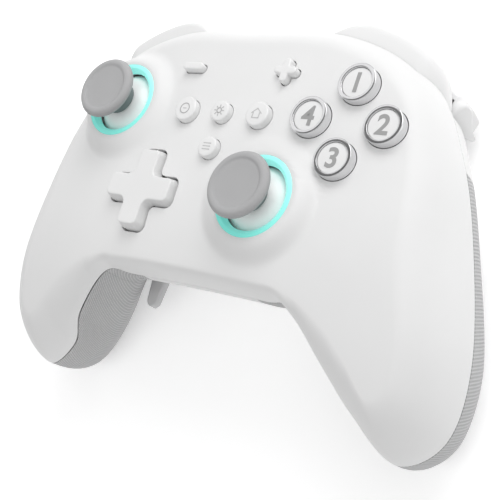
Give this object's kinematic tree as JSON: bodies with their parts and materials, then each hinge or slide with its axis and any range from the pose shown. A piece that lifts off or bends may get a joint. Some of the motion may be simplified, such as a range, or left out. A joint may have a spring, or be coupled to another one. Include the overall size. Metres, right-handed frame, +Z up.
{
  "type": "gamepad controller",
  "caption": "Handheld gamepad with two lit thumb sticks, a cross pad, round face buttons, bumpers, triggers and back paddles.",
  "frame": {"origin": "middle of the bounding box at the table that the part lies on", "axes": "+X to the player's right, +Y away from the player, +Z up"},
  "size_m": [0.1548, 0.1146, 0.0568],
  "materials": {
    "white_plastic": "matte",
    "grip_plastic": "fine ribbed texture",
    "light_guide": "glowing light guide",
    "cap_rubber": "matte",
    "grey_plastic": "matte",
    "bright_rim": "polished",
    "board": "solder mask",
    "battery": "wrapped",
    "pad_rubber": "matte",
    "steel": "plain",
    "dark_plastic": "matte"
  },
  "bodies": {
    "body": {"front_shell": "white_plastic", "back_shell": "white_plastic", "left_grip": "grip_plastic", "right_grip": "grip_plastic", "left_light_ring": "light_guide", "right_light_ring": "light_guide", "main_board": "board", "battery": "battery", "usb_socket": "steel", "button_pad": "pad_rubber", "dpad_pad": "pad_rubber", "dpad_base": "dark_plastic", "left_rumble_motor": "steel", "right_rumble_motor": "steel", "left_stick_base": "dark_plastic", "right_stick_base": "dark_plastic", "left_shoulder_bracket": "dark_plastic", "right_shoulder_bracket": "dark_plastic", "left_trigger_spring": "steel", "right_trigger_spring": "steel", "left_bumper_switch": "dark_plastic", "right_bumper_switch": "dark_plastic", "left_paddle_pin": "steel", "right_paddle_pin": "steel", "left_paddle_switch": "dark_plastic", "right_paddle_switch": "dark_plastic", "case_screws": "steel"},
    "left_stick_yoke": {"left_stick_yoke": "dark_plastic"},
    "left_stick_swivel": {"left_stick_swivel": "dark_plastic"},
    "left_stick": {"left_stick_stem": "white_plastic", "left_stick_cap": "cap_rubber"},
    "right_stick_yoke": {"right_stick_yoke": "dark_plastic"},
    "right_stick_swivel": {"right_stick_swivel": "dark_plastic"},
    "right_stick": {"right_stick_stem": "white_plastic", "right_stick_cap": "cap_rubber"},
    "face_button_top": {"face_button_top": "white_plastic", "face_rim_top": "bright_rim"},
    "face_button_right": {"face_button_right": "white_plastic", "face_rim_right": "bright_rim"},
    "face_button_bottom": {"face_button_bottom": "white_plastic", "face_rim_bottom": "bright_rim"},
    "face_button_left": {"face_button_left": "white_plastic", "face_rim_left": "bright_rim"},
    "small_button_left": {"small_button_left": "white_plastic"},
    "small_button_middle": {"small_button_middle": "white_plastic"},
    "small_button_right": {"small_button_right": "white_plastic"},
    "small_button_lower": {"small_button_lower": "white_plastic"},
    "minus_button": {"minus_button": "white_plastic"},
    "plus_button": {"plus_button": "white_plastic"},
    "dpad_pivot": {"dpad_pivot": "dark_plastic"},
    "dpad": {"dpad": "white_plastic"},
    "left_bumper": {"left_bumper": "white_plastic"},
    "left_trigger": {"left_trigger": "white_plastic"},
    "left_paddle": {"left_paddle": "grey_plastic"},
    "left_rumble_weight": {"left_rumble_weight": "steel"},
    "right_bumper": {"right_bumper": "white_plastic"},
    "right_trigger": {"right_trigger": "white_plastic"},
    "right_paddle": {"right_paddle": "grey_plastic"},
    "right_rumble_weight": {"right_rumble_weight": "steel"}
  },
  "joints": [
    {"name": "left_stick_tip_fore_aft", "type": "hinge", "parent": "body", "child": "left_stick_yoke", "pos_m": [-0.039, 0.02566, 0.03028], "axis": [1, 0, 0], "range_deg": [-15, 15], "stiffness_Nm_per_rad": 0.06},
    {"name": "left_stick_tip_sideways", "type": "hinge", "parent": "left_stick_yoke", "child": "left_stick_swivel", "pos_m": [-0.039, 0.02566, 0.03028], "axis": [0, 0.9763, -0.2164], "range_deg": [-15, 15], "stiffness_Nm_per_rad": 0.06},
    {"name": "left_stick_press", "type": "slide", "parent": "left_stick_swivel", "child": "left_stick", "axis": [0, -0.2164, -0.9763], "range_m": [0, 0.0005], "stiffness_N_per_m": 1500, "springref_m": -0.001},
    {"name": "right_stick_tip_fore_aft", "type": "hinge", "parent": "body", "child": "right_stick_yoke", "pos_m": [0.02, 0.00164, 0.03561], "axis": [1, 0, 0], "range_deg": [-15, 15], "stiffness_Nm_per_rad": 0.06},
    {"name": "right_stick_tip_sideways", "type": "hinge", "parent": "right_stick_yoke", "child": "right_stick_swivel", "pos_m": [0.02, 0.00164, 0.03561], "axis": [0, 0.9763, -0.2164], "range_deg": [-15, 15], "stiffness_Nm_per_rad": 0.06},
    {"name": "right_stick_press", "type": "slide", "parent": "right_stick_swivel", "child": "right_stick", "axis": [0, -0.2164, -0.9763], "range_m": [0, 0.0005], "stiffness_N_per_m": 1500, "springref_m": -0.001},
    {"name": "face_button_top_press", "type": "slide", "parent": "body", "child": "face_button_top", "axis": [0, -0.2164, -0.9763], "range_m": [0, 0.0014], "stiffness_N_per_m": 300, "springref_m": -0.002, "deforming": ["button_pad"]},
    {"name": "face_button_right_press", "type": "slide", "parent": "body", "child": "face_button_right", "axis": [0, -0.2164, -0.9763], "range_m": [0, 0.0014], "stiffness_N_per_m": 300, "springref_m": -0.002, "deforming": ["button_pad"]},
    {"name": "face_button_bottom_press", "type": "slide", "parent": "body", "child": "face_button_bottom", "axis": [0, -0.2164, -0.9763], "range_m": [0, 0.0014], "stiffness_N_per_m": 300, "springref_m": -0.002, "deforming": ["button_pad"]},
    {"name": "face_button_left_press", "type": "slide", "parent": "body", "child": "face_button_left", "axis": [0, -0.2164, -0.9763], "range_m": [0, 0.0014], "stiffness_N_per_m": 300, "springref_m": -0.002, "deforming": ["button_pad"]},
    {"name": "small_button_left_press", "type": "slide", "parent": "body", "child": "small_button_left", "axis": [0, -0.2164, -0.9763], "range_m": [0, 0.0008], "stiffness_N_per_m": 400, "springref_m": -0.0015, "deforming": ["button_pad"]},
    {"name": "small_button_middle_press", "type": "slide", "parent": "body", "child": "small_button_middle", "axis": [0, -0.2164, -0.9763], "range_m": [0, 0.0008], "stiffness_N_per_m": 400, "springref_m": -0.0015, "deforming": ["button_pad"]},
    {"name": "small_button_right_press", "type": "slide", "parent": "body", "child": "small_button_right", "axis": [0, -0.2164, -0.9763], "range_m": [0, 0.0008], "stiffness_N_per_m": 400, "springref_m": -0.0015, "deforming": ["button_pad"]},
    {"name": "small_button_lower_press", "type": "slide", "parent": "body", "child": "small_button_lower", "axis": [0, -0.2164, -0.9763], "range_m": [0, 0.0008], "stiffness_N_per_m": 400, "springref_m": -0.0015, "deforming": ["button_pad"]},
    {"name": "minus_button_press", "type": "slide", "parent": "body", "child": "minus_button", "axis": [0, -0.2164, -0.9763], "range_m": [0, 0.0008], "stiffness_N_per_m": 400, "springref_m": -0.0015, "deforming": ["button_pad"]},
    {"name": "plus_button_press", "type": "slide", "parent": "body", "child": "plus_button", "axis": [0, -0.2164, -0.9763], "range_m": [0, 0.0008], "stiffness_N_per_m": 400, "springref_m": -0.0015, "deforming": ["button_pad"]},
    {"name": "dpad_tip_fore_aft", "type": "hinge", "parent": "body", "child": "dpad_pivot", "pos_m": [-0.02, 0.00115, 0.04125], "axis": [1, 0, 0], "range_deg": [-6, 6], "stiffness_Nm_per_rad": 0.08, "deforming": ["dpad_pad"]},
    {"name": "dpad_tip_sideways", "type": "hinge", "parent": "dpad_pivot", "child": "dpad", "pos_m": [-0.02, 0.00115, 0.04125], "axis": [0, 0.9763, -0.2164], "range_deg": [-6, 6], "stiffness_Nm_per_rad": 0.08, "deforming": ["dpad_pad"]},
    {"name": "left_bumper_press", "type": "hinge", "parent": "body", "child": "left_bumper", "pos_m": [-0.025, 0.04537, 0.01987], "axis": [0, 0.2164, 0.9763], "range_deg": [0, 1.6], "stiffness_Nm_per_rad": 0.4, "springref_deg": -4.58},
    {"name": "left_trigger_pull", "type": "hinge", "parent": "body", "child": "left_trigger", "pos_m": [-0.0435, 0.04266, 0.0174], "axis": [-0.866, -0.4881, 0.1082], "range_deg": [0, 18], "stiffness_Nm_per_rad": 0.08, "springref_deg": -22.92},
    {"name": "left_paddle_press", "type": "hinge", "parent": "body", "child": "left_paddle", "pos_m": [-0.037, 0.00052, 0.01394], "axis": [-1, 0, 0], "range_deg": [0, 2.5], "stiffness_Nm_per_rad": 0.3, "springref_deg": -4.58},
    {"name": "left_rumble_spin", "type": "hinge", "parent": "body", "child": "left_rumble_weight", "pos_m": [-0.06, -0.01759, 0.02], "axis": [0, 0.9763, -0.2164], "continuous": true},
    {"name": "right_bumper_press", "type": "hinge", "parent": "body", "child": "right_bumper", "pos_m": [0.025, 0.04537, 0.01987], "axis": [0, -0.2164, -0.9763], "range_deg": [0, 1.6], "stiffness_Nm_per_rad": 0.4, "springref_deg": -4.58},
    {"name": "right_trigger_pull", "type": "hinge", "parent": "body", "child": "right_trigger", "pos_m": [0.0435, 0.04266, 0.0174], "axis": [-0.866, 0.4881, -0.1082], "range_deg": [0, 18], "stiffness_Nm_per_rad": 0.08, "springref_deg": -22.92},
    {"name": "right_paddle_press", "type": "hinge", "parent": "body", "child": "right_paddle", "pos_m": [0.037, 0.00052, 0.01394], "axis": [-1, 0, 0], "range_deg": [0, 2.5], "stiffness_Nm_per_rad": 0.3, "springref_deg": -4.58},
    {"name": "right_rumble_spin", "type": "hinge", "parent": "body", "child": "right_rumble_weight", "pos_m": [0.06, -0.01759, 0.02], "axis": [0, 0.9763, -0.2164], "continuous": true}
  ]
}
